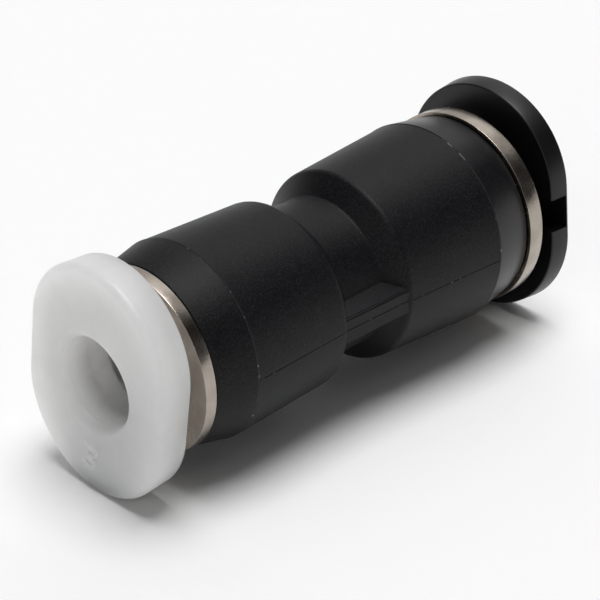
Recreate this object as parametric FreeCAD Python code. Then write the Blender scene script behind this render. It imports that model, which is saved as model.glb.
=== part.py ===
import FreeCAD, Part
import math
import os
from collections import namedtuple

# In-line push-in reducer for 3 mm and 4 mm tube, in millimetres.
# The fitting's axis is X: the 3 mm end points to -X, the 4 mm end to +X, and +Z is up.
# The origin is on the axis, half way along the fitting.

V = FreeCAD.Vector
X_AXIS = V(1, 0, 0)

# the two tubes
small_tube_d = 3.0
large_tube_d = 4.0

# radial build-up from the tube outwards, the same at both ends
seat_clearance = 0.05
ring_clearance = 0.05
nose_wall = 0.42
nose_clearance = 0.05
bead_height = 0.14
guide_wall = 0.45
barb_height = 0.08
claw_rim_clearance = 0.03

# the moulded body's walls and draft
small_mouth_wall = 0.864
large_mouth_wall = 0.703
small_end_taper = 0.357
large_end_taper = 0.267
small_draft = 0.16
large_draft = 0.304
neck_wall = 0.99
flow_bore_d = 2.0

# the moulded body's lengths along the axis
small_barrel_length = 6.23
large_barrel_length = 6.67
small_taper_length = 1.66
large_taper_length = 1.86
neck_length = 1.97
shoulder_length = 0.66
mould_edge_bevel = 0.09

# depths of the steps inside each end, from the mouth inwards
guide_depth = 2.4
claw_thickness = 0.2
sleeve_gap = 0.95
sleeve_length = 1.45
seat_length = 2.3

# the side ribs that bridge the neck on the mould's parting plane
rib_half_outer = 0.53
rib_half_root = 0.75
rib_inset = 0.03

# guide rings
small_collar_length = 0.42
large_collar_length = 0.59
small_collar_step = -0.05
large_collar_step = 0.155
small_collar_gap = 0.04
large_collar_gap = 0.11
collar_ledge = 0.45
collar_bevel = 0.12
guide_lip_length = 0.7
barb_count = 2
barb_pitch = 0.75

# lock claws
small_tooth_count = 8
large_tooth_count = 10
tooth_slot = 0.26
tooth_angle = 40.0
tooth_bite = 0.08
claw_root_margin = 0.25

# elastic sleeves
lip_squeeze = 0.05
sleeve_lip_length = 0.35
sleeve_skirt = 0.45
sleeve_lip_rise = 0.06
sleeve_relief = 0.2
sleeve_taper = 0.1

# release rings
small_flange_gap = 0.79
large_flange_gap = 0.99
small_flange_thickness = 1.43
large_flange_thickness = 0.94
small_flange_reach = 1.58
large_flange_reach = 1.38
small_flange_straight = 1.1
large_flange_straight = 1.0
flange_draft = 0.09
small_rim_bevel = 0.2
large_rim_bevel = 0.08
inner_rim_bevel = 0.09
bore_lead = 0.4
small_ring_roll = 8.0
large_ring_roll = -8.0
slit_count = 4
slit_width = 0.35
slit_length = 2.2
bead_length = 0.35
bead_play = 0.05
nose_claw_gap = 0.12
grip_slot_width = 1.5
grip_slot_skin = 0.14

End = namedtuple("End", "name side tube_r mouth_wall taper draft barrel taper_length "
                 "collar_length collar_step collar_gap teeth flange_gap flange_thickness "
                 "flange_reach flange_straight rim_bevel roll grip_slots")

small_end = End("3mm", -1, small_tube_d / 2, small_mouth_wall, small_end_taper, small_draft,
                small_barrel_length, small_taper_length, small_collar_length,
                small_collar_step, small_collar_gap, small_tooth_count, small_flange_gap,
                small_flange_thickness, small_flange_reach, small_flange_straight,
                small_rim_bevel, small_ring_roll, False)
large_end = End("4mm", 1, large_tube_d / 2, large_mouth_wall, large_end_taper, large_draft,
                large_barrel_length, large_taper_length, large_collar_length,
                large_collar_step, large_collar_gap, large_tooth_count, large_flange_gap,
                large_flange_thickness, large_flange_reach, large_flange_straight,
                large_rim_bevel, large_ring_roll, True)


# radii of one end, each from the one inside it
def seat_r(end):
    return end.tube_r + seat_clearance


def ring_bore_r(end):
    return end.tube_r + ring_clearance


def nose_r(end):
    return ring_bore_r(end) + nose_wall


def guide_bore_r(end):
    return nose_r(end) + nose_clearance


def recess_r(end):
    return nose_r(end) + bead_height + nose_clearance


def guide_r(end):
    return recess_r(end) + guide_wall


def socket_r(end):
    return guide_r(end) + barb_height


def sleeve_r(end):
    return guide_r(end) - guide_wall / 2


def mouth_r(end):
    return socket_r(end) + end.mouth_wall


def parting_r(end):
    return mouth_r(end) + end.taper


def shoulder_r(end):
    return parting_r(end) - end.draft


def collar_r(end):
    return mouth_r(end) + end.collar_step


# depths of one end, measured inwards from the mouth
socket_depth = guide_depth + claw_thickness
pocket_depth = socket_depth + sleeve_gap + sleeve_length
seat_depth = pocket_depth + seat_length
neck_r = seat_r(large_end) + neck_wall


def flange_face(end):
    return -(end.collar_gap + end.collar_length + end.flange_gap)


def flange_front(end):
    return flange_face(end) - end.flange_thickness


# the origin is half way between the two release rings' outer faces
small_reach = neck_length / 2 + shoulder_length + small_barrel_length - flange_front(small_end)
large_reach = neck_length / 2 + shoulder_length + large_barrel_length - flange_front(large_end)
neck_middle = (small_reach - large_reach) / 2


def x_at(end, depth):
    mouth = neck_length / 2 + shoulder_length + end.barrel
    return neck_middle + end.side * (mouth - depth)


def outline(corners):
    """Closed outline in the XZ plane from (x, z, bevel) corners."""
    points = [V(x, 0, z) for x, z, bevel in corners]
    path = []
    for i, point in enumerate(points):
        bevel = corners[i][2]
        if bevel <= 0:
            path.append(point)
            continue
        back = points[i - 1] - point
        ahead = points[(i + 1) % len(points)] - point
        setback = min(bevel, 0.45 * back.Length, 0.45 * ahead.Length)
        back.normalize()
        ahead.normalize()
        path.append(point + back * setback)
        path.append(point + ahead * setback)
    return Part.makePolygon(path + [path[0]])


def turned(corners):
    """Solid of revolution about the fitting's axis."""
    return Part.Face(outline(corners)).revolve(V(0, 0, 0), X_AXIS, 360)


def turned_end(end, corners):
    """Solid of revolution from (depth, radius, bevel) corners of one end."""
    return turned([(x_at(end, depth), radius, bevel) for depth, radius, bevel in corners])


def radial_slot(end, start, stop, width, reach, angle):
    """Box from the axis outwards, for slots that run along the axis at one angle."""
    low = min(x_at(end, start), x_at(end, stop))
    slot = Part.makeBox(abs(stop - start), width, reach, V(low, -width / 2, 0))
    slot.rotate(V(0, 0, 0), X_AXIS, angle)
    return slot


def end_outside(end):
    return [
        (0, mouth_r(end), mould_edge_bevel),
        (end.taper_length, parting_r(end), 0),
        (end.barrel, shoulder_r(end), mould_edge_bevel),
        (end.barrel + shoulder_length, neck_r, mould_edge_bevel),
    ]


def end_inside(end):
    return [
        (seat_depth, flow_bore_d / 2, 0),
        (seat_depth, seat_r(end), 0),
        (pocket_depth, seat_r(end), 0),
        (pocket_depth, sleeve_r(end), 0),
        (socket_depth, sleeve_r(end), 0),
        (socket_depth, socket_r(end), 0),
        (0, socket_r(end), 0),
    ]


def make_rib(side):
    """One drafted web on the parting plane, flush with the barrels beside it."""
    root = neck_r - mould_edge_bevel
    reach = max(shoulder_r(small_end), shoulder_r(large_end)) + 1
    slope = (rib_half_root - rib_half_outer) / (shoulder_r(small_end) - root)
    thin = rib_half_outer - slope * (reach - shoulder_r(small_end))
    start = x_at(small_end, end_overlap(small_end))
    stop = x_at(large_end, end_overlap(large_end))
    section = Part.makePolygon([
        V(start, side * root, -rib_half_root),
        V(start, side * reach, -thin),
        V(start, side * reach, thin),
        V(start, side * root, rib_half_root),
        V(start, side * root, -rib_half_root),
    ])
    web = Part.Face(section).extrude(V(stop - start, 0, 0))
    limit = turned([
        (start, 0, 0),
        (start, shoulder_r(small_end) - rib_inset, 0),
        (stop, shoulder_r(large_end) - rib_inset, 0),
        (stop, 0, 0),
    ])
    return web.common(limit)


def end_overlap(end):
    return end.barrel - mould_edge_bevel


def make_body():
    outside = [(x_at(small_end, d), r, f) for d, r, f in end_outside(small_end)]
    outside += [(x_at(large_end, d), r, f) for d, r, f in reversed(end_outside(large_end))]
    inside = [(x_at(large_end, d), r, f) for d, r, f in reversed(end_inside(large_end))]
    inside += [(x_at(small_end, d), r, f) for d, r, f in end_inside(small_end)]
    body = turned(outside + inside)
    for side in (-1, 1):
        body = body.fuse(make_rib(side))
    return body.removeSplitter()


def make_guide_ring(end):
    """Pressed brass sleeve with barbs, a collar outside and a recess for the snap bead."""
    collar_back = -end.collar_gap
    collar_front = collar_back - end.collar_length
    ledge = socket_r(end) + collar_ledge
    corners = [
        (collar_front, guide_bore_r(end), collar_bevel),
        (collar_front, collar_r(end), collar_bevel),
        (collar_back, collar_r(end), 0),
        (collar_back, ledge, 0),
        (0, ledge, 0),
        (0, guide_r(end), 0),
    ]
    first = guide_depth - barb_count * barb_pitch
    for i in range(barb_count):
        step = first + i * barb_pitch
        corners.append((step, guide_r(end), 0))
        corners.append((step, socket_r(end), 0))
        corners.append((step + 0.75 * barb_pitch, guide_r(end), 0))
    corners += [
        (guide_depth, guide_r(end), 0),
        (guide_depth, recess_r(end), 0),
        (guide_lip_length, recess_r(end), 0),
        (guide_lip_length, guide_bore_r(end), 0),
    ]
    return turned_end(end, corners)


def make_lock_claws(end):
    """Stamped spring ring with a flat rim and a crown of inward teeth."""
    slope = math.tan(math.radians(tooth_angle))
    root = nose_r(end) + claw_root_margin
    tip = end.tube_r - tooth_bite
    face = guide_depth
    back = guide_depth + claw_thickness
    drop = slope * (root - tip)
    lean = claw_thickness * math.tan(math.radians(tooth_angle / 2))
    bevel = claw_thickness / math.cos(math.radians(tooth_angle)) * 0.6
    ring = turned_end(end, [
        (face, socket_r(end) - claw_rim_clearance, 0),
        (face, root, 0),
        (face + drop, tip, 0),
        (face + drop + bevel, tip + 0.1, 0),
        (back, root + lean, 0),
        (back, socket_r(end) - claw_rim_clearance, 0),
    ])
    slots = [radial_slot(end, face - 1, back + drop + 1, tooth_slot, root + 0.05,
                         360.0 * i / end.teeth) for i in range(end.teeth)]
    return ring.cut(Part.makeCompound(slots))


def make_sleeve(end):
    """Rubber sleeve with a lip that seals on the tube and a skirt that opens to the claws."""
    lip = end.tube_r - lip_squeeze
    lip_back = lip + sleeve_lip_rise
    front = socket_depth + sleeve_gap
    crest = front + sleeve_skirt
    outer = sleeve_r(end)
    mouth = (lip + outer) / 2
    relief = seat_r(end) + sleeve_relief
    return turned_end(end, [
        (front, mouth, 0),
        (front, outer - sleeve_taper, 0),
        (crest, outer, 0),
        (pocket_depth, outer, 0),
        (pocket_depth, relief, 0),
        (crest + sleeve_lip_length + sleeve_relief, relief, 0),
        (crest + sleeve_lip_length, lip_back, 0),
        (crest, lip, 0),
    ])


def stadium(x, half_width, straight):
    """Upright outline with flat sides and round ends."""
    corners = [V(x, -half_width, -straight), V(x, -half_width, straight),
               V(x, half_width, straight), V(x, half_width, -straight)]
    top = V(x, 0, straight + half_width)
    bottom = V(x, 0, -straight - half_width)
    return Part.Wire([
        Part.LineSegment(corners[0], corners[1]).toShape(),
        Part.Arc(corners[1], top, corners[2]).toShape(),
        Part.LineSegment(corners[2], corners[3]).toShape(),
        Part.Arc(corners[3], bottom, corners[0]).toShape(),
    ])


def is_rim_edge(edge, x):
    """An edge of the flange's outline in the plane at x."""
    box = edge.BoundBox
    return abs(box.XMin - x) < 1e-4 and abs(box.XMax - x) < 1e-4


def make_release_ring(end):
    """Push ring with a flat-sided flange and a slit nose with a snap bead."""
    face = x_at(end, flange_face(end))
    front = x_at(end, flange_front(end))
    outer_half = nose_r(end) + end.flange_reach
    inner_half = outer_half - flange_draft
    flange = Part.makeLoft([
        stadium(face, inner_half, end.flange_straight),
        stadium(front, outer_half, end.flange_straight),
    ], True, True)
    rims = [edge for edge in flange.Edges if is_rim_edge(edge, face)]
    flange = flange.makeChamfer(inner_rim_bevel, rims)
    rims = [edge for edge in flange.Edges if is_rim_edge(edge, front)]
    flange = flange.makeChamfer(end.rim_bevel, rims)
    slope = math.tan(math.radians(tooth_angle))
    nose_tip = guide_depth - nose_claw_gap + slope * claw_root_margin
    bead_start = guide_lip_length + bead_play
    nose = turned_end(end, [
        (flange_face(end) - end.flange_thickness / 2, ring_bore_r(end), 0),
        (flange_face(end) - end.flange_thickness / 2, nose_r(end), 0),
        (bead_start, nose_r(end), 0),
        (bead_start, nose_r(end) + bead_height, 0),
        (bead_start + bead_length, nose_r(end) + bead_height, 0),
        (bead_start + bead_length + bead_height, nose_r(end), 0),
        (nose_tip, nose_r(end), 0),
        (nose_tip + slope * 0.6 * nose_wall, nose_r(end) - 0.6 * nose_wall, 0),
        (nose_tip + slope * 0.6 * nose_wall, ring_bore_r(end), 0),
    ])
    ring = flange.fuse(nose)
    if end.grip_slots:
        for side in (-1, 1):
            ring = ring.cut(make_grip_slot(end, side, outer_half))
    ring = ring.cut(make_tube_hole(end, nose_tip))
    slits = [radial_slot(end, nose_tip - slit_length, nose_tip + 2, slit_width,
                         nose_r(end) + 1, 45 + 360.0 * i / slit_count)
             for i in range(slit_count)]
    ring = ring.cut(Part.makeCompound(slits))
    ring.rotate(V(0, 0, 0), X_AXIS, end.roll)
    return ring


def make_tube_hole(end, nose_tip):
    """The tube's way through a release ring, with a flared lead-in at the outer face."""
    bore = ring_bore_r(end)
    front = flange_front(end)
    return turned_end(end, [
        (front - 1, 0, 0),
        (front - 1, bore + bore_lead, 0),
        (front, bore + bore_lead, 0),
        (front + 0.3 * bore_lead, bore + 0.3 * bore_lead, 0),
        (front + bore_lead, bore, 0),
        (nose_tip + 2, bore, 0),
        (nose_tip + 2, 0, 0),
    ])


def make_grip_slot(end, side, outer_half):
    """Slot in the flange's inner face, open at the flat side and closed by the nose."""
    start = flange_face(end) + 0.5
    stop = flange_front(end) + grip_slot_skin
    low = min(x_at(end, start), x_at(end, stop))
    reach = outer_half + 1
    slot = Part.makeBox(abs(stop - start), reach, grip_slot_width,
                        V(low, 0 if side > 0 else -reach, -grip_slot_width / 2))
    core = Part.makeCylinder(nose_r(end), abs(stop - start) + 2, V(low - 1, 0, 0), X_AXIS)
    return slot.cut(core)


def save(shape, name):
    solid = shape.Solids[0] if len(shape.Solids) == 1 else shape
    if not shape.isValid() or len(shape.Solids) != 1:
        print("check", name, "solids", len(shape.Solids), "valid", shape.isValid())
    solid.exportStep("parts/" + name + ".step")


os.makedirs("parts", exist_ok=True)
save(make_body(), "body")
for end in (small_end, large_end):
    save(make_guide_ring(end), "guide_ring_" + end.name)
    save(make_lock_claws(end), "lock_claws_" + end.name)
    save(make_sleeve(end), "elastic_sleeve_" + end.name)
    save(make_release_ring(end), "release_ring_" + end.name)
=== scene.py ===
import math
from collections import namedtuple

import bmesh
import bpy
from mathutils import Matrix, Vector


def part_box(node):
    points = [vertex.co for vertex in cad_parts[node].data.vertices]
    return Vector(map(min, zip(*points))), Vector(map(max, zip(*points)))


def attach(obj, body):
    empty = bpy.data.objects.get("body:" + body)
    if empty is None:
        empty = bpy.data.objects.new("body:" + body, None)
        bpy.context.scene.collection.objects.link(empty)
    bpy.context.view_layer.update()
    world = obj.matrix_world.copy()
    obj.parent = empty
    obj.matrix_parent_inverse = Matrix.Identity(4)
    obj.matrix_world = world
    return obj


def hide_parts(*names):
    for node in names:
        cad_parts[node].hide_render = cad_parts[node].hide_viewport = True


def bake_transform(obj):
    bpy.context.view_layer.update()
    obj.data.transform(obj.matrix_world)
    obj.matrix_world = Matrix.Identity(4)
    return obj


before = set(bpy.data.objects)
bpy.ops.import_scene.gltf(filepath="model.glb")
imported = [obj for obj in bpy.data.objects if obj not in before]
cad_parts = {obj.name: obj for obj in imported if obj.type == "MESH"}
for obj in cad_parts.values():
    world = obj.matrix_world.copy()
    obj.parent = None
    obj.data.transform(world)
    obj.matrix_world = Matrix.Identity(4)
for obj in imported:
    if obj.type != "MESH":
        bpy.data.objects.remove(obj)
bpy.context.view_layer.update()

# Everything is shaped in millimetres along X, with the origin on the fitting's axis,
# and finish_piece turns it to metres.
MM = 0.001
AXIS = (1, 0, 0)
CENTRE = (0, 0, 0)

# points closer than MERGE are one point, and an edge within NEAR of a place is the edge there
MERGE = 0.0004
NEAR = 0.004
TURN_STEPS = 192
SHARP = math.radians(32)

# cutters run on PAST what they cut, and WIDE is further out than any radius
PAST = 0.5
WIDE = 6

# radii of every end, as steps out from the tube's own radius
FIT = 0.05
FOOT = 0.25
NOSE = 0.47
GUIDE_BORE = 0.52
FUNNEL = 0.62
RECESS = 0.66
CLAW_ROOT = 0.72
SLEEVE = 0.885
GUIDE = 1.11
SOCKET = 1.19
LEDGE = 1.64

# depths of every end, inwards from the barrel's mouth
RECESS_START = 0.7
BEAD_START = 0.75
BARB_STARTS = (0.9, 1.65)
BEAD_STOP = 1.10
GUIDE_DEPTH = 2.4
SOCKET_DEPTH = 2.6
NOSE_END = 2.65
SLEEVE_FRONT = 3.55
SLEEVE_CREST = 4.0
POCKET_DEPTH = 5.0
SEAT_DEPTH = 7.3

# One end of the fitting. mouth is where its barrel's mouth is along X, _r ends the name of a
# radius, and taper to collar_back, face and front are depths inwards from the mouth, below
# zero where they are outside it. half_width, straight, roll (in degrees) and rim_round shape
# the release ring's flange, and teeth is the number of the claws' teeth.
End = namedtuple("End", "name side mouth tube_r mouth_r parting_r shoulder_r taper barrel "
                 "collar_front collar_back collar_r face front half_width straight roll "
                 "rim_round teeth")
SMALL = End(name="3mm", side=-1, mouth=8.07, tube_r=1.5,
            mouth_r=3.554, parting_r=3.911, shoulder_r=3.751, taper=1.66, barrel=6.23,
            collar_front=-0.52, collar_back=-0.03, collar_r=3.55,
            face=-1.25, front=-2.68, half_width=3.55, straight=1.1, roll=8.0,
            rim_round=0.3, teeth=8)
LARGE = End(name="4mm", side=1, mouth=8.12, tube_r=2.0,
            mouth_r=3.893, parting_r=4.160, shoulder_r=3.856, taper=1.86, barrel=6.67,
            collar_front=-0.79, collar_back=-0.07, collar_r=4.03,
            face=-1.69, front=-2.63, half_width=3.85, straight=1.0, roll=-6.0,
            rim_round=0.13, teeth=10)
ENDS = (SMALL, LARGE)

# the body round its bores, which lie deeper than SKIN inside its outside
FLOW_R = 1.0
NECK_R = 3.04
SHOULDER = 0.66
MOUTH_ROUND = 0.03
SHOULDER_ROUND = 0.13
NECK_ROUND = 0.07
BORE_ROUND = 0.05
SKIN = 0.3

# mould lines: a shallow V along the fitting and one round each barrel. The walls of the long
# one lean by more than PARTING_TILT. The mould's part over each taper is a little out of line.
PARTING_HALF = 0.028
PARTING_DEPTH = 0.024
PARTING_WEDGE = 0.5
PARTING_OVERRUN = 0.1
PARTING_TILT = 0.3
TAPER_SHIFT = (0, 0.014, 0.016)

# the mould lines' painted glints are brightest on the larger barrel, over this stretch of Y
GLINT_MIDDLE = -1.5
GLINT_WHOLE = 0.5
GLINT_END = 1.1

# ribs across the neck
RIB_START = -1.93
RIB_STOP = 1.54
RIB_HALF_ROOT = 0.80
RIB_HALF_OUTER = 0.53
RIB_ROOT = 2.6
RIB_FACE_SMALL = 3.70
RIB_FACE_LARGE = 3.79
RIB_EDGE_LINE = 0.1
RIB_ROUND = 0.05

# guide rings, lock claws, and the sleeves' lips, which hang back from the crest
BARB_LENGTH = 0.56
TOOTH_ANGLE = math.radians(40)
TOOTH_BITE = 0.08
TOOTH_GAP = 0.26
TIP_LAND = 0.6
TIP_RISE = 0.1
RIM_CLEARANCE = 0.03
SLEEVE_CHAMFER = 0.1
LIP_THICKNESS = 0.06
LIP_BACK = 0.35
LIP_ROOT = 0.55

# release rings: flange, flared mouth, slit nose with its bead, and grip slots
DRAFT = 0.09
BACK_ROUND = 0.07
RIM_SEGMENTS = 8
LEAD_IN = 0.34
LEAD_STEPS = 10
MOUTH_WIDER = 0.18
MOUTH_STEP = 0.02
MOUTH_CONE = 1.9
BEAD = 0.14
BEAD_SLOPE = 0.02
NOSE_TAPER = 0.2
NOSE_CHAMFER = 0.24
SLIT_WIDTH = 0.35
SLIT_LENGTH = 2.2
SLIT_ANGLES = (45, 135)
GRIP_SLOT = 1.36
GRIP_SKIN = 0.14

# the raised figure, whose height is CAP_SHARE of the type's size
NUMERAL_HEIGHT = 1.08
CAP_SHARE = 0.72
NUMERAL_WIDER = 1.3
NUMERAL_RADIUS = 3.18
NUMERAL_ASIDE = 0.17
NUMERAL_RISE = 0.1
NUMERAL_SWELL = 0.01
NUMERAL_ROUND = 0.026

# each lamp: the way to it, the share of full white that it gives level ground, and its
# width in degrees
LAMPS = {
    "key_softbox": ((0.06, -0.05, 1.0), 0.72, 36),
    "left_softbox": ((-0.8, -0.3, 0.5), 0.045, 40),
    "back_softbox": ((0.5, 0.6, 0.62), 0.11, 64),
    "right_softbox": ((0.62, 0.14, 0.77), 0.07, 50),
    "front_fill": ((0.0, -0.5, 0.87), 0.02, 36),
}

# the camera's axes, its place in millimetres, its lens and the paper floor's half width
CAMERA_RIGHT = (0.7109263, -0.7032665, 0)
CAMERA_UP = (0.3527151, 0.3565567, 0.8651355)
CAMERA_BACK = (-0.6084208, -0.6150475, 0.5015382)
CAMERA_PLACE = (-49.1208, -49.1009, 39.3151)
LENS = 126
SENSOR = 36
FLOOR_HALF = 3


def at(end, depth):
    """Place along X of a depth inwards from one end's mouth."""
    return end.side * (end.mouth - depth)


def finish_piece(bm, name, creases=()):
    """A closed, outward-facing mesh object at the origin, in metres, from a bmesh.

    Rings of edges at the places along X in creases are sharp, however flat they are.
    """
    bmesh.ops.remove_doubles(bm, verts=bm.verts, dist=MERGE)
    bmesh.ops.dissolve_degenerate(bm, edges=bm.edges, dist=MERGE)
    bmesh.ops.recalc_face_normals(bm, faces=bm.faces)
    for face in bm.faces:
        face.smooth = True
    for edge in bm.edges:
        creased = any(all(abs(v.co.x - x) < MERGE for v in edge.verts) for x in creases)
        edge.smooth = not creased and edge.calc_face_angle(0) < SHARP
    bmesh.ops.scale(bm, vec=(MM, MM, MM), verts=bm.verts)
    mesh = bpy.data.meshes.new(name)
    bm.to_mesh(mesh)
    bm.free()
    piece = bpy.data.objects.new(name, mesh)
    bpy.context.scene.collection.objects.link(piece)
    shading = piece.modifiers.new("even shading", "WEIGHTED_NORMAL")
    shading.keep_sharp = True
    return piece


def boolean(bm, tool_bm, operation):
    """One bmesh cut by, or joined to, another."""
    objects = []
    for part in (bm, tool_bm):
        bmesh.ops.recalc_face_normals(part, faces=part.faces)
        mesh = bpy.data.meshes.new("work")
        part.to_mesh(mesh)
        part.free()
        work = bpy.data.objects.new("work", mesh)
        bpy.context.scene.collection.objects.link(work)
        objects.append(work)
    base, tool = objects
    modifier = base.modifiers.new("work", "BOOLEAN")
    modifier.operation = operation
    modifier.solver = "EXACT"
    modifier.object = tool
    graph = bpy.context.evaluated_depsgraph_get()
    result = bpy.data.meshes.new_from_object(base.evaluated_get(graph))
    out = bmesh.new()
    out.from_mesh(result)
    for work in objects:
        mesh = work.data
        bpy.data.objects.remove(work)
        bpy.data.meshes.remove(mesh)
    bpy.data.meshes.remove(result)
    return out


def edges_at(bm, x, radius):
    """The ring of edges at one place along X and one radius."""
    return [edge for edge in bm.edges
            if all(abs(v.co.x - x) < NEAR and abs(math.hypot(v.co.y, v.co.z) - radius) < NEAR
                   for v in edge.verts)]


def round_edges(bm, edges, size, segments=4):
    """Edges rounded by one size."""
    bmesh.ops.bevel(bm, geom=edges, offset=size, segments=segments, profile=0.5,
                    affect="EDGES", material=-1, clamp_overlap=True)


def turned(corners, closed=True):
    """Ring turned about X from (x, radius, rounding) corners, or a rod where it isn't closed."""
    bm = bmesh.new()
    verts = [bm.verts.new((x, radius, 0)) for x, radius, rounding in corners]
    first = 0 if closed else 1
    edges = [bm.edges.new((verts[i - 1], verts[i])) for i in range(first, len(verts))]
    bmesh.ops.spin(bm, geom=verts + edges, cent=CENTRE, axis=AXIS,
                   angle=2 * math.pi, steps=TURN_STEPS, use_merge=True)
    bmesh.ops.remove_doubles(bm, verts=bm.verts, dist=MERGE)
    bmesh.ops.recalc_face_normals(bm, faces=bm.faces)
    for x, radius, rounding in corners:
        if rounding > 0:
            round_edges(bm, edges_at(bm, x, radius), rounding)
    return bm


def rod(stations):
    """Solid rod along X through (x, radius) stations."""
    stations = [(stations[0][0], 0)] + stations + [(stations[-1][0], 0)]
    return turned([(x, radius, 0) for x, radius in stations], closed=False)


def block(low, high):
    """Box between two corners."""
    bm = bmesh.new()
    bmesh.ops.create_cube(bm, size=1)
    size = [b - a for a, b in zip(low, high)]
    middle = [(a + b) / 2 for a, b in zip(low, high)]
    bmesh.ops.scale(bm, vec=size, verts=bm.verts)
    bmesh.ops.translate(bm, vec=middle, verts=bm.verts)
    return bm


def spun(bm, degrees):
    """The same bmesh, turned about the fitting's axis."""
    turn = Matrix.Rotation(math.radians(degrees), 3, "X")
    bmesh.ops.rotate(bm, cent=CENTRE, matrix=turn, verts=bm.verts)
    return bm


def barrel_outline(end):
    """Outside of one end from its mouth inwards, with the mould line round it."""
    slope = (end.parting_r - end.mouth_r) / end.taper
    draft = (end.parting_r - end.shoulder_r) / (end.barrel - end.taper)
    return [
        (at(end, 0), end.mouth_r, MOUTH_ROUND),
        (at(end, end.taper - PARTING_HALF), end.parting_r - slope * PARTING_HALF, 0),
        (at(end, end.taper), end.parting_r - PARTING_DEPTH, 0),
        (at(end, end.taper + PARTING_HALF), end.parting_r - draft * PARTING_HALF, 0),
        (at(end, end.barrel), end.shoulder_r, SHOULDER_ROUND),
        (at(end, end.barrel + SHOULDER), NECK_R, NECK_ROUND),
    ]


def inside_outline(end):
    """Stepped bore of one end from the flow bore out to its mouth."""
    return [
        (at(end, SEAT_DEPTH), FLOW_R, 0),
        (at(end, SEAT_DEPTH), end.tube_r + FIT, 0),
        (at(end, POCKET_DEPTH), end.tube_r + FIT, BORE_ROUND),
        (at(end, POCKET_DEPTH), end.tube_r + SLEEVE, 0),
        (at(end, SOCKET_DEPTH), end.tube_r + SLEEVE, 0),
        (at(end, SOCKET_DEPTH), end.tube_r + SOCKET, 0),
        (at(end, 0), end.tube_r + SOCKET, BORE_ROUND),
    ]


def rib(side):
    """Web across the neck: drafted sides, a mould line down its face and one by its top edge."""
    line = RIB_HALF_OUTER - RIB_EDGE_LINE
    section = [
        (RIB_ROOT, -RIB_HALF_ROOT),
        (RIB_FACE_SMALL, -RIB_HALF_OUTER),
        (RIB_FACE_SMALL, -PARTING_HALF),
        (RIB_FACE_SMALL - PARTING_DEPTH, 0),
        (RIB_FACE_SMALL, PARTING_HALF),
        (RIB_FACE_SMALL, line - PARTING_HALF),
        (RIB_FACE_SMALL - PARTING_DEPTH, line),
        (RIB_FACE_SMALL, line + PARTING_HALF),
        (RIB_FACE_SMALL, RIB_HALF_OUTER),
        (RIB_ROOT, RIB_HALF_ROOT),
    ]
    bm = bmesh.new()
    verts = [bm.verts.new((RIB_START, side * y, z)) for y, z in section]
    cap = bm.faces.new(verts)
    made = bmesh.ops.extrude_face_region(bm, geom=[cap], use_keep_orig=True)
    moved = [item for item in made["geom"] if isinstance(item, bmesh.types.BMVert)]
    bmesh.ops.translate(bm, vec=(RIB_STOP - RIB_START, 0, 0), verts=moved)
    outer = [v for v in moved if abs(v.co.y) > (RIB_ROOT + RIB_FACE_SMALL) / 2]
    bmesh.ops.translate(bm, vec=(0, side * (RIB_FACE_LARGE - RIB_FACE_SMALL), 0), verts=outer)
    bmesh.ops.recalc_face_normals(bm, faces=bm.faces)
    long_edges = [edge for edge in bm.edges
                  if abs(edge.verts[0].co.x - edge.verts[1].co.x) > NEAR
                  and all(abs(abs(v.co.z) - RIB_HALF_OUTER) < NEAR for v in edge.verts)]
    round_edges(bm, long_edges, RIB_ROUND, 3)
    return bm


def mould_line(end, side):
    """Wedge that cuts the V of the mould line along one barrel."""
    x0, r0 = at(end, end.taper), end.parting_r - PARTING_DEPTH
    x1, r1 = at(end, end.barrel + PARTING_OVERRUN), end.shoulder_r - PARTING_DEPTH
    half = PARTING_HALF * PARTING_WEDGE / PARTING_DEPTH
    bm = bmesh.new()
    bmesh.ops.create_cube(bm, size=2)
    for vert in bm.verts:
        first = vert.co.x < 0
        outer = vert.co.y > 0
        root = r0 if first else r1
        vert.co = (x0 if first else x1,
                   side * (root + (PARTING_WEDGE if outer else 0)),
                   math.copysign(half, vert.co.z) if outer else 0)
    bmesh.ops.remove_doubles(bm, verts=bm.verts, dist=MERGE)
    return bm


def make_body():
    """The moulded body: both barrels, neck, ribs, stepped bores and mould lines."""
    outside = barrel_outline(SMALL) + barrel_outline(LARGE)[::-1]
    inside = inside_outline(LARGE)[::-1] + inside_outline(SMALL)
    bm = turned(outside + inside)
    for end in ENDS:
        edge = at(end, end.taper - PARTING_HALF / 2)
        skin = [v for v in bm.verts if end.side * (v.co.x - edge) > 0
                and math.hypot(v.co.y, v.co.z) > end.mouth_r - SKIN]
        bmesh.ops.translate(bm, vec=TAPER_SHIFT, verts=skin)
    for side in (-1, 1):
        bm = boolean(bm, rib(side), "UNION")
        for end in ENDS:
            bm = boolean(bm, mould_line(end, side), "DIFFERENCE")
    creases = [at(end, end.taper + step)
               for end in ENDS for step in (-PARTING_HALF, PARTING_HALF)]
    return finish_piece(bm, "fitting_body", creases)


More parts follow.
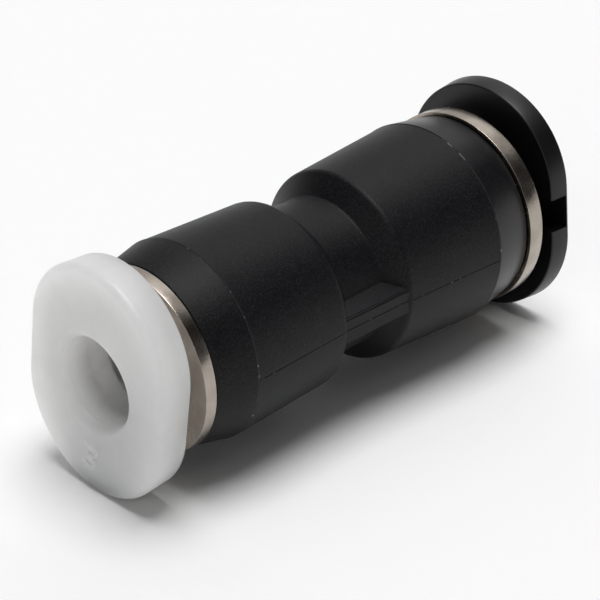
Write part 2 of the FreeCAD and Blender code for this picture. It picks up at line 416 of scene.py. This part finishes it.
def make_guide_ring(end):
    """Nickel ring: a collar outside, two barbs in the socket, and a recess for the snap bead."""
    radius = end.tube_r
    corners = [
        (at(end, end.collar_front), radius + GUIDE_BORE, 0.06),
        (at(end, end.collar_front), end.collar_r, 0.03),
        (at(end, end.collar_back), end.collar_r, 0.02),
        (at(end, end.collar_back), radius + LEDGE, 0),
        (at(end, 0), radius + LEDGE, 0),
        (at(end, 0), radius + GUIDE, 0),
    ]
    for start in BARB_STARTS:
        corners += [
            (at(end, start), radius + GUIDE, 0),
            (at(end, start), radius + SOCKET, 0),
            (at(end, start + BARB_LENGTH), radius + GUIDE, 0),
        ]
    corners += [
        (at(end, GUIDE_DEPTH), radius + GUIDE, 0.04),
        (at(end, GUIDE_DEPTH), radius + RECESS, 0.04),
        (at(end, RECESS_START), radius + RECESS, 0),
        (at(end, RECESS_START), radius + GUIDE_BORE, 0.04),
    ]
    return finish_piece(turned(corners), "nickel_ring_" + end.name)


def make_claw_rim(end):
    """Flat rim of the lock claws, held between the guide ring and the socket's step."""
    root = end.tube_r + CLAW_ROOT
    lean = (SOCKET_DEPTH - GUIDE_DEPTH) * math.tan(TOOTH_ANGLE / 2)
    outer = end.tube_r + SOCKET - RIM_CLEARANCE
    return finish_piece(turned([
        (at(end, GUIDE_DEPTH), root, 0),
        (at(end, GUIDE_DEPTH), outer, 0.02),
        (at(end, SOCKET_DEPTH), outer, 0.02),
        (at(end, SOCKET_DEPTH), root + lean, 0),
    ]), "claw_rim_" + end.name)


def make_claw_teeth(end):
    """Crown of teeth bent inwards out of the claws' rim, with a sharp edge that grips."""
    thickness = SOCKET_DEPTH - GUIDE_DEPTH
    slope = math.tan(TOOTH_ANGLE)
    root = end.tube_r + CLAW_ROOT
    tip = end.tube_r - TOOTH_BITE
    tip_depth = GUIDE_DEPTH + slope * (root - tip)
    land = thickness / math.cos(TOOTH_ANGLE) * TIP_LAND
    bm = turned([
        (at(end, GUIDE_DEPTH), root, 0),
        (at(end, SOCKET_DEPTH), root - thickness / slope, 0),
        (at(end, tip_depth), tip, 0),
        (at(end, tip_depth + land), tip + TIP_RISE, 0),
        (at(end, SOCKET_DEPTH), root + thickness * math.tan(TOOTH_ANGLE / 2), 0),
    ])
    start, stop = sorted((at(end, GUIDE_DEPTH - PAST), at(end, tip_depth + PAST)))
    for i in range(end.teeth // 2):
        gap = block((start, -WIDE, -TOOTH_GAP / 2), (stop, WIDE, TOOTH_GAP / 2))
        bm = boolean(bm, spun(gap, 360 * i / end.teeth), "DIFFERENCE")
    return finish_piece(bm, "claw_teeth_" + end.name)


def make_sleeve(end):
    """Rubber sleeve with a funnel in front and a lip that the tube seals against."""
    radius = end.tube_r
    lip = radius - FIT
    corners = [
        (at(end, SLEEVE_FRONT), radius + FUNNEL, 0.03),
        (at(end, SLEEVE_FRONT), radius + SLEEVE - SLEEVE_CHAMFER, 0.03),
        (at(end, SLEEVE_CREST), radius + SLEEVE, 0),
        (at(end, POCKET_DEPTH), radius + SLEEVE, 0.04),
        (at(end, POCKET_DEPTH), radius + FOOT, 0.04),
        (at(end, SLEEVE_CREST + LIP_ROOT), radius + FOOT, 0),
        (at(end, SLEEVE_CREST + LIP_BACK), lip + LIP_THICKNESS, 0.03),
        (at(end, SLEEVE_CREST), lip, 0.05),
    ]
    return finish_piece(turned(corners), "rubber_sleeve_" + end.name)


def oval_plate(end):
    """Flange of a release ring: flat sides and round ends, with a soft outer rim."""
    outer_x, inner_x = at(end, end.front), at(end, end.face)
    half = end.half_width
    bm = bmesh.new()
    bmesh.ops.create_circle(bm, cap_ends=True, radius=half, segments=TURN_STEPS)
    # half a step on, so that no point lies between the two halves that move apart below
    half_step = Matrix.Rotation(math.pi / TURN_STEPS, 3, "Z")
    bmesh.ops.rotate(bm, cent=CENTRE, matrix=half_step, verts=bm.verts)
    upright = Matrix.Rotation(math.pi / 2, 3, "Y")
    bmesh.ops.rotate(bm, cent=CENTRE, matrix=upright, verts=bm.verts)
    bmesh.ops.translate(bm, vec=(outer_x, 0, 0), verts=bm.verts)
    made = bmesh.ops.extrude_face_region(bm, geom=bm.faces[:], use_keep_orig=True)
    inner = [item for item in made["geom"] if isinstance(item, bmesh.types.BMVert)]
    share = (half - DRAFT) / half
    bmesh.ops.scale(bm, vec=(1, share, share), verts=inner)
    bmesh.ops.translate(bm, vec=(inner_x - outer_x, 0, 0), verts=inner)
    for vert in bm.verts:
        vert.co.z += math.copysign(end.straight, vert.co.z)
    bmesh.ops.recalc_face_normals(bm, faces=bm.faces)
    for x, size, segments in ((outer_x, end.rim_round, RIM_SEGMENTS), (inner_x, BACK_ROUND, 3)):
        rim = [edge for edge in bm.edges
               if all(abs(v.co.x - x) < MERGE for v in edge.verts)]
        round_edges(bm, rim, size, segments)
    return bm


def numeral(end):
    """Raised figure 3 with soft edges, half sunk in the outer face it is joined to."""
    curve = bpy.data.curves.new("numeral", "FONT")
    curve.body = "3"
    curve.size = NUMERAL_HEIGHT / CAP_SHARE
    curve.align_x = "CENTER"
    curve.align_y = "CENTER"
    curve.extrude = NUMERAL_RISE
    curve.offset = NUMERAL_SWELL
    curve.resolution_u = 6
    text = bpy.data.objects.new("numeral", curve)
    bpy.context.scene.collection.objects.link(text)
    graph = bpy.context.evaluated_depsgraph_get()
    mesh = bpy.data.meshes.new_from_object(text.evaluated_get(graph))
    bpy.data.objects.remove(text)
    bpy.data.curves.remove(curve)
    bm = bmesh.new()
    bm.from_mesh(mesh)
    bpy.data.meshes.remove(mesh)
    bmesh.ops.remove_doubles(bm, verts=bm.verts, dist=MERGE)
    bmesh.ops.dissolve_limit(bm, angle_limit=0.02, verts=bm.verts, edges=bm.edges)
    bmesh.ops.recalc_face_normals(bm, faces=bm.faces)
    top = [edge for edge in bm.edges if all(v.co.z > NUMERAL_RISE / 2 for v in edge.verts)]
    round_edges(bm, top, NUMERAL_ROUND, 3)
    bmesh.ops.scale(bm, vec=(NUMERAL_WIDER, 1, 1), verts=bm.verts)
    place = Matrix(((0, 0, -1, at(end, end.front)),
                    (-1, 0, 0, -NUMERAL_ASIDE),
                    (0, 1, 0, -NUMERAL_RADIUS),
                    (0, 0, 0, 1)))
    bmesh.ops.transform(bm, matrix=place, verts=bm.verts)
    return bm


def make_release_ring(end):
    """Push ring: oval flange with a flared mouth, and a slit nose with a snap bead."""
    side = end.side
    outer_x, inner_x = at(end, end.front), at(end, end.face)
    bore = end.tube_r + FIT
    nose = end.tube_r + NOSE
    bm = oval_plate(end)
    if end is LARGE:
        stop = outer_x - side * GRIP_SKIN
        start = inner_x - side * PAST
        for low_y, high_y in ((-WIDE, -bore), (bore, WIDE)):
            slot = block((min(start, stop), low_y, -GRIP_SLOT / 2),
                         (max(start, stop), high_y, GRIP_SLOT / 2))
            bm = boolean(bm, slot, "DIFFERENCE")
    snout = rod([
        (outer_x - side * GRIP_SKIN / 2, nose),
        (at(end, BEAD_START), nose),
        (at(end, BEAD_START + BEAD_SLOPE), nose + BEAD),
        (at(end, BEAD_STOP), nose + BEAD),
        (at(end, BEAD_STOP + BEAD), nose),
        (at(end, NOSE_END - NOSE_TAPER), nose),
        (at(end, NOSE_END), nose - NOSE_CHAMFER),
    ])
    bm = boolean(bm, snout, "UNION")
    mouth = bore + MOUTH_WIDER + MOUTH_STEP
    flare = [(outer_x + side * PAST, mouth + LEAD_IN)]
    for i in range(LEAD_STEPS + 1):
        turn = math.pi / 2 * i / LEAD_STEPS
        flare.append((outer_x - side * LEAD_IN * (1 - math.cos(turn)),
                      mouth + LEAD_IN * (1 - math.sin(turn))))
    flare += [
        (outer_x - side * (LEAD_IN + MOUTH_STEP), mouth - MOUTH_STEP),
        (outer_x - side * MOUTH_CONE, bore),
        (at(end, NOSE_END + PAST), bore),
    ]
    bm = boolean(bm, rod(flare), "DIFFERENCE")
    start, stop = sorted((at(end, NOSE_END - SLIT_LENGTH), at(end, NOSE_END + PAST)))
    for angle in SLIT_ANGLES:
        slit = block((start, -WIDE, -SLIT_WIDTH / 2), (stop, WIDE, SLIT_WIDTH / 2))
        bm = boolean(bm, spun(slit, angle), "DIFFERENCE")
    if end is SMALL:
        bm = boolean(bm, numeral(end), "UNION")
    spun(bm, end.roll)
    return finish_piece(bm, "release_ring_body_" + end.name)


# Materials


def srgb(code):
    """Linear colour of an sRGB hex code."""
    out = []
    for i in (0, 2, 4):
        c = int(code[i:i + 2], 16) / 255
        out.append(c / 12.92 if c <= 0.04045 else ((c + 0.055) / 1.055) ** 2.4)
    return (*out, 1)


def add(tree, kind, inputs=None, **settings):
    """One node with its settings, and its inputs set to a value or linked to a socket."""
    node = tree.nodes.new(kind)
    for name, value in settings.items():
        setattr(node, name, value)
    for name, value in (inputs or {}).items():
        if isinstance(value, bpy.types.NodeSocket):
            tree.links.new(value, node.inputs[name])
        else:
            node.inputs[name].default_value = value
    return node


def new_material(name):
    """Material with an empty node tree, and the tree."""
    material = bpy.data.materials.new(name)
    material.use_nodes = True
    tree = material.node_tree
    tree.nodes.clear()
    return material, tree


def finish_material(tree, shader):
    """Sends the shader to the surface."""
    add(tree, "ShaderNodeOutputMaterial", {"Surface": shader.outputs["BSDF"]})


def per_mm(size):
    """Scale of a pattern whose features are that many millimetres apart."""
    return 1 / (size * MM)


def black_pbt(name, dark, light, roughness, spread, gloss, grain_height):
    """Black PBT, injection moulded: the spark-eroded mould leaves a fine matt grain.

    The grain's pits are about 0.04 mm wide. They are drawn 0.06 mm wide so that they show,
    and the crests among them are rubbed a little lighter. The colour clouds every 0.9 mm.
    spread is how far the grain changes the roughness, and grain_height is in millimetres.
    """
    material, tree = new_material(name)
    place = add(tree, "ShaderNodeTexCoord").outputs["Object"]
    grain = add(tree, "ShaderNodeTexNoise", {"Vector": place, "Scale": per_mm(0.06),
                                             "Detail": 3.0, "Roughness": 0.65})
    cloud = add(tree, "ShaderNodeTexNoise", {"Vector": place, "Scale": per_mm(0.9),
                                             "Detail": 3.0})
    tint = add(tree, "ShaderNodeValToRGB", {"Fac": cloud.outputs["Fac"]})
    tint.color_ramp.elements[0].position = 0.35
    tint.color_ramp.elements[0].color = srgb(dark)
    tint.color_ramp.elements[1].position = 0.7
    tint.color_ramp.elements[1].color = srgb(light)
    crest = add(tree, "ShaderNodeMapRange", {"Value": grain.outputs["Fac"],
                                             "From Min": 0.48, "From Max": 0.8})
    rubbed = add(tree, "ShaderNodeMix", {"Factor": crest.outputs["Result"],
                                         "A": tint.outputs["Color"], "B": srgb("2b2b30")},
                 data_type="RGBA")
    dull = add(tree, "ShaderNodeMapRange", {"Value": grain.outputs["Fac"],
                                            "From Min": 0.3, "From Max": 0.7,
                                            "To Min": roughness - spread,
                                            "To Max": roughness + spread})
    bump = add(tree, "ShaderNodeBump", {"Height": grain.outputs["Fac"], "Strength": 1.0,
                                        "Distance": grain_height * MM})
    shader = add(tree, "ShaderNodeBsdfPrincipled", {
        "Base Color": rubbed.outputs["Result"], "Roughness": dull.outputs["Result"],
        "IOR": 1.5, "Specular IOR Level": gloss, "Normal": bump.outputs["Normal"]})
    finish_material(tree, shader)
    return material


def mould_line_painted_glints():
    """Witness of the mould's joint in the PBT: glossier than the grain, with painted glints.

    The painted glints are light grey spots about 0.2 mm apart. They are brightest beside the
    larger barrel's top.
    """
    material, tree = new_material("black_pbt_mould_line_painted_glints")
    place = add(tree, "ShaderNodeTexCoord").outputs["Object"]
    glint_spots = add(tree, "ShaderNodeTexNoise", {"Vector": place, "Scale": per_mm(0.22),
                                             "Detail": 2.0})
    split = add(tree, "ShaderNodeSeparateXYZ", {"Vector": place})
    larger = add(tree, "ShaderNodeMapRange", {"Value": split.outputs["X"],
                                              "From Min": 0.0, "From Max": 1 * MM})
    aside = add(tree, "ShaderNodeMath", {0: split.outputs["Y"], 1: GLINT_MIDDLE * MM},
                operation="SUBTRACT")
    away = add(tree, "ShaderNodeMath", {0: aside.outputs["Value"]}, operation="ABSOLUTE")
    glint_stretch = add(tree, "ShaderNodeMapRange", {"Value": away.outputs["Value"],
                                            "From Min": GLINT_WHOLE * MM,
                                            "From Max": GLINT_END * MM,
                                            "To Min": 0.13, "To Max": 0.0})
    glint_strength = add(tree, "ShaderNodeMath", {0: glint_stretch.outputs["Result"],
                                          1: larger.outputs["Result"],
                                          2: glint_spots.outputs["Fac"]}, operation="MULTIPLY_ADD")
    # painted glints: the mould line turns light grey where this mask is high
    tint = add(tree, "ShaderNodeValToRGB", {"Fac": glint_strength.outputs["Value"]})
    tint.color_ramp.elements[0].position = 0.62
    tint.color_ramp.elements[0].color = srgb("0a0a0b")
    tint.color_ramp.elements[1].position = 0.75
    tint.color_ramp.elements[1].color = srgb("939396")
    dull = add(tree, "ShaderNodeMapRange", {"Value": glint_strength.outputs["Value"],
                                            "From Min": 0.55, "From Max": 0.7,
                                            "To Min": 0.6, "To Max": 0.3})
    shader = add(tree, "ShaderNodeBsdfPrincipled", {
        "Base Color": tint.outputs["Color"], "Roughness": dull.outputs["Result"],
        "IOR": 1.5})
    finish_material(tree, shader)
    return material


def nickel_plate():
    """Nickel-plated brass, turned and then plated: warm silver with fine turning rings.

    The tool's marks are 0.05 mm apart, and shallow dents from plating in a drum 0.3 mm.
    """
    material, tree = new_material("nickel_plated_brass_turned")
    place = add(tree, "ShaderNodeTexCoord").outputs["Object"]
    split = add(tree, "ShaderNodeSeparateXYZ", {"Vector": place})
    across = add(tree, "ShaderNodeCombineXYZ", {"X": 0.0, "Y": split.outputs["Y"],
                                                "Z": split.outputs["Z"]})
    radius = add(tree, "ShaderNodeVectorMath", {0: across.outputs["Vector"]},
                 operation="LENGTH")
    lathe = add(tree, "ShaderNodeCombineXYZ", {"X": split.outputs["X"],
                                               "Y": radius.outputs["Value"]})
    rings = add(tree, "ShaderNodeTexNoise", {"Vector": lathe.outputs["Vector"],
                                             "Scale": per_mm(0.05), "Detail": 2.0})
    smear = add(tree, "ShaderNodeTexNoise", {"Vector": place, "Scale": per_mm(0.7),
                                             "Detail": 3.0})
    tint = add(tree, "ShaderNodeValToRGB", {"Fac": smear.outputs["Fac"]})
    tint.color_ramp.elements[0].position = 0.3
    tint.color_ramp.elements[0].color = srgb("9d948a")
    tint.color_ramp.elements[1].position = 0.7
    tint.color_ramp.elements[1].color = srgb("b0a79d")
    dull = add(tree, "ShaderNodeMapRange", {"Value": smear.outputs["Fac"],
                                            "To Min": 0.16, "To Max": 0.34})
    dents = add(tree, "ShaderNodeTexNoise", {"Vector": place, "Scale": per_mm(0.3),
                                             "Detail": 3.0})
    wavy = add(tree, "ShaderNodeBump", {"Height": dents.outputs["Fac"], "Strength": 0.6,
                                        "Distance": 0.008 * MM})
    bump = add(tree, "ShaderNodeBump", {"Height": rings.outputs["Fac"], "Strength": 0.6,
                                        "Distance": 0.002 * MM,
                                        "Normal": wavy.outputs["Normal"]})
    shader = add(tree, "ShaderNodeBsdfPrincipled", {
        "Base Color": tint.outputs["Color"], "Metallic": 1.0,
        "Roughness": dull.outputs["Result"], "Normal": bump.outputs["Normal"]})
    finish_material(tree, shader)
    return material


def acetal(name, dark, light, roughness, gloss, depth):
    """Acetal (POM), injection moulded in a smooth mould: satin, and milky where it is white.

    The skin waves every 0.16 mm and the melt clouds every 1.6 mm. depth is how many
    millimetres light wanders inside, and 0 keeps it outside.
    """
    material, tree = new_material(name)
    place = add(tree, "ShaderNodeTexCoord").outputs["Object"]
    cloud = add(tree, "ShaderNodeTexNoise", {"Vector": place, "Scale": per_mm(1.6),
                                             "Detail": 3.0})
    skin = add(tree, "ShaderNodeTexNoise", {"Vector": place, "Scale": per_mm(0.16),
                                            "Detail": 2.0})
    tint = add(tree, "ShaderNodeValToRGB", {"Fac": cloud.outputs["Fac"]})
    tint.color_ramp.elements[0].position = 0.3
    tint.color_ramp.elements[0].color = srgb(dark)
    tint.color_ramp.elements[1].position = 0.7
    tint.color_ramp.elements[1].color = srgb(light)
    dull = add(tree, "ShaderNodeMapRange", {"Value": skin.outputs["Fac"],
                                            "To Min": roughness - 0.05,
                                            "To Max": roughness + 0.05})
    bump = add(tree, "ShaderNodeBump", {"Height": skin.outputs["Fac"], "Strength": 0.5,
                                        "Distance": 0.004 * MM})
    inputs = {"Base Color": tint.outputs["Color"], "Roughness": dull.outputs["Result"],
              "IOR": 1.48, "Specular IOR Level": gloss, "Normal": bump.outputs["Normal"]}
    if depth > 0:
        inputs.update({"Subsurface Weight": 1.0, "Subsurface Radius": (1.0, 0.97, 0.95),
                       "Subsurface Scale": depth * MM})
    shader = add(tree, "ShaderNodeBsdfPrincipled", inputs)
    finish_material(tree, shader)
    return material


def spring_steel():
    """Stainless spring steel, stamped: a bright surface with rolling marks.

    The marks are 0.3 mm long and an eighth as wide.
    """
    material, tree = new_material("stainless_spring_steel_stamped")
    place = add(tree, "ShaderNodeTexCoord").outputs["Object"]
    stretch = add(tree, "ShaderNodeMapping", {"Vector": place, "Scale": (1.0, 8.0, 1.0)})
    marks = add(tree, "ShaderNodeTexNoise", {"Vector": stretch.outputs["Vector"],
                                             "Scale": per_mm(0.3), "Detail": 3.0})
    tint = add(tree, "ShaderNodeValToRGB", {"Fac": marks.outputs["Fac"]})
    tint.color_ramp.elements[0].color = srgb("b9b9b7")
    tint.color_ramp.elements[1].color = srgb("d2d2d0")
    dull = add(tree, "ShaderNodeMapRange", {"Value": marks.outputs["Fac"],
                                            "To Min": 0.2, "To Max": 0.34})
    shader = add(tree, "ShaderNodeBsdfPrincipled", {
        "Base Color": tint.outputs["Color"], "Metallic": 1.0,
        "Roughness": dull.outputs["Result"]})
    finish_material(tree, shader)
    return material


def nitrile_rubber():
    """Nitrile rubber, compression moulded: dull near-black, with a faint bloom every 0.5 mm."""
    material, tree = new_material("nitrile_rubber_moulded")
    place = add(tree, "ShaderNodeTexCoord").outputs["Object"]
    bloom = add(tree, "ShaderNodeTexNoise", {"Vector": place, "Scale": per_mm(0.5),
                                             "Detail": 4.0})
    tint = add(tree, "ShaderNodeValToRGB", {"Fac": bloom.outputs["Fac"]})
    tint.color_ramp.elements[0].color = srgb("121212")
    tint.color_ramp.elements[1].color = srgb("1e1e1d")
    shader = add(tree, "ShaderNodeBsdfPrincipled", {
        "Base Color": tint.outputs["Color"], "Roughness": 0.75, "IOR": 1.52})
    finish_material(tree, shader)
    return material


def paper_sweep():
    """White studio paper: flat and dull, with faint fibres 0.8 mm long."""
    material, tree = new_material("white_paper_sweep")
    place = add(tree, "ShaderNodeTexCoord").outputs["Object"]
    fibre = add(tree, "ShaderNodeTexNoise", {"Vector": place, "Scale": per_mm(0.8),
                                             "Detail": 3.0})
    tint = add(tree, "ShaderNodeValToRGB", {"Fac": fibre.outputs["Fac"]})
    tint.color_ramp.elements[0].color = srgb("fbfbfb")
    tint.color_ramp.elements[1].color = srgb("fdfdfd")
    shader = add(tree, "ShaderNodeBsdfDiffuse", {"Color": tint.outputs["Color"]})
    finish_material(tree, shader)
    return material


# The assembled fitting


def dress(piece, body, slot, node, *materials):
    """A piece with its materials, its body and the CAD node it stands for; slot is not used."""
    for material in materials:
        piece.data.materials.append(material)
    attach(piece, body)
    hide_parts(node)


def share_out(body):
    """Gives the body's faces their material: grained, smooth from a polished core, or the mould
    lines' painted glints.
    """
    smooth, painted_glints = 1, 2
    for face in body.data.polygons:
        x, y, z = face.center / MM
        round_it = any(abs(x - at(end, end.taper)) < PARTING_HALF for end in ENDS)
        along_it = (abs(z) < PARTING_HALF and abs(y) > NECK_R
                    and abs(face.normal.z) > PARTING_TILT)
        # faces on the mould lines get the material with painted glints
        if round_it or along_it:
            face.material_index = painted_glints
        elif x > at(LARGE, LARGE.taper):
            face.material_index = smooth


def make_fitting():
    """All the pieces, dressed, and all but the claws' teeth on their bodies."""
    grained = black_pbt("black_pbt_spark_eroded", "08080a", "0d0d0f", roughness=0.43,
                        spread=0.06, gloss=0.17, grain_height=0.016)
    smooth = black_pbt("black_pbt_smooth_core", "08080a", "0c0c0e", roughness=0.32,
                       spread=0.02, gloss=0.29, grain_height=0.003)
    # mould lines: glossier, with painted glints in light grey
    painted_glints = mould_line_painted_glints()
    nickel = nickel_plate()
    steel = spring_steel()
    rubber = nitrile_rubber()
    buttons = {
        "3mm": acetal("white_acetal_moulded", "dcdcdb", "e4e4e3", roughness=0.36,
                      gloss=0.5, depth=9.0),
        "4mm": acetal("black_acetal_moulded", "08080a", "0c0c0e", roughness=0.36,
                      gloss=0.4, depth=0),
    }

    body = make_body()
    dress(body, "fitting", "body_black", "body", grained, smooth, painted_glints)
    share_out(body)

    for end in ENDS:
        dress(make_guide_ring(end), "fitting", "ring_nickel", "guide_ring_" + end.name, nickel)
        dress(make_sleeve(end), "fitting", "sleeve_rubber", "elastic_sleeve_" + end.name,
              rubber)
        slot = "button_white" if end is SMALL else "button_black"
        dress(make_release_ring(end), "release_" + end.name, slot,
              "release_ring_" + end.name, buttons[end.name])
        claws = "lock_claws_" + end.name
        dress(make_claw_rim(end), "claws_" + end.name, "claw_steel", claws, steel)
        teeth = make_claw_teeth(end)
        teeth.data.materials.append(steel)
        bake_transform(teeth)
        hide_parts(claws)


def sun(name, towards_light, share, spread):
    """Soft lamp that gives level white ground that share of full white."""
    lamp = bpy.data.lights.new(name, "SUN")
    direction = Vector(towards_light)
    lamp.energy = share * math.pi / direction.normalized().z
    lamp.angle = math.radians(spread)
    obj = bpy.data.objects.new(name, lamp)
    bpy.context.scene.collection.objects.link(obj)
    obj.rotation_mode = "QUATERNION"
    obj.rotation_quaternion = direction.to_track_quat("Z", "Y")


def lay_floor():
    """White paper under both release rings, which reach down by different amounts."""
    bm = bmesh.new()
    bmesh.ops.create_grid(bm, x_segments=1, y_segments=1, size=FLOOR_HALF)
    small_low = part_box("release_ring_3mm")[0]
    large_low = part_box("release_ring_4mm")[0]
    small_x = (at(SMALL, SMALL.front) + at(SMALL, SMALL.face)) / 2 * MM
    large_x = (at(LARGE, LARGE.front) + at(LARGE, LARGE.face)) / 2 * MM
    slope = math.atan2(large_low.z - small_low.z, large_x - small_x)
    level = small_low.z - small_x * math.tan(slope)
    lean = Matrix.Rotation(-slope, 3, "Y")
    bmesh.ops.rotate(bm, cent=CENTRE, matrix=lean, verts=bm.verts)
    bmesh.ops.translate(bm, vec=(0, 0, level), verts=bm.verts)
    mesh = bpy.data.meshes.new("paper_floor")
    bm.to_mesh(mesh)
    bm.free()
    floor = bpy.data.objects.new("paper_floor", mesh)
    bpy.context.scene.collection.objects.link(floor)
    floor.data.materials.append(paper_sweep())


def surround():
    """Studio round the paper: white to the camera, and to all else only low at the horizon."""
    world = bpy.data.worlds.new("studio_surround")
    bpy.context.scene.world = world
    world.use_nodes = True
    tree = world.node_tree
    tree.nodes.clear()
    direction = add(tree, "ShaderNodeTexCoord").outputs["Generated"]
    split = add(tree, "ShaderNodeSeparateXYZ", {"Vector": direction})
    height = add(tree, "ShaderNodeMapRange", {"Value": split.outputs["Z"],
                                              "From Min": 0.03, "From Max": 0.12,
                                              "To Min": 1.0, "To Max": 0.02})
    rays = add(tree, "ShaderNodeLightPath")
    shown = add(tree, "ShaderNodeMath", {0: height.outputs["Result"],
                                         1: rays.outputs["Is Camera Ray"]},
                operation="MAXIMUM")
    back = add(tree, "ShaderNodeBackground", {"Color": (1, 1, 1, 1),
                                              "Strength": shown.outputs["Value"]})
    add(tree, "ShaderNodeOutputWorld", {"Surface": back.outputs["Background"]})


def set_camera():
    """Camera where the photograph was taken from."""
    camera = bpy.data.cameras.new("camera")
    camera.sensor_width = SENSOR
    camera.lens = LENS
    camera.clip_start = 0.001
    camera.clip_end = 10
    view = bpy.data.objects.new("camera", camera)
    turn = Matrix((CAMERA_RIGHT, CAMERA_UP, CAMERA_BACK)).transposed().to_4x4()
    view.matrix_world = Matrix.Translation(Vector(CAMERA_PLACE) * MM) @ turn
    scene = bpy.context.scene
    scene.collection.objects.link(view)
    scene.camera = view
    scene.view_settings.view_transform = "Standard"


make_fitting()
lay_floor()
surround()
for lamp_name, lamp_facts in LAMPS.items():
    sun(lamp_name, *lamp_facts)
set_camera()
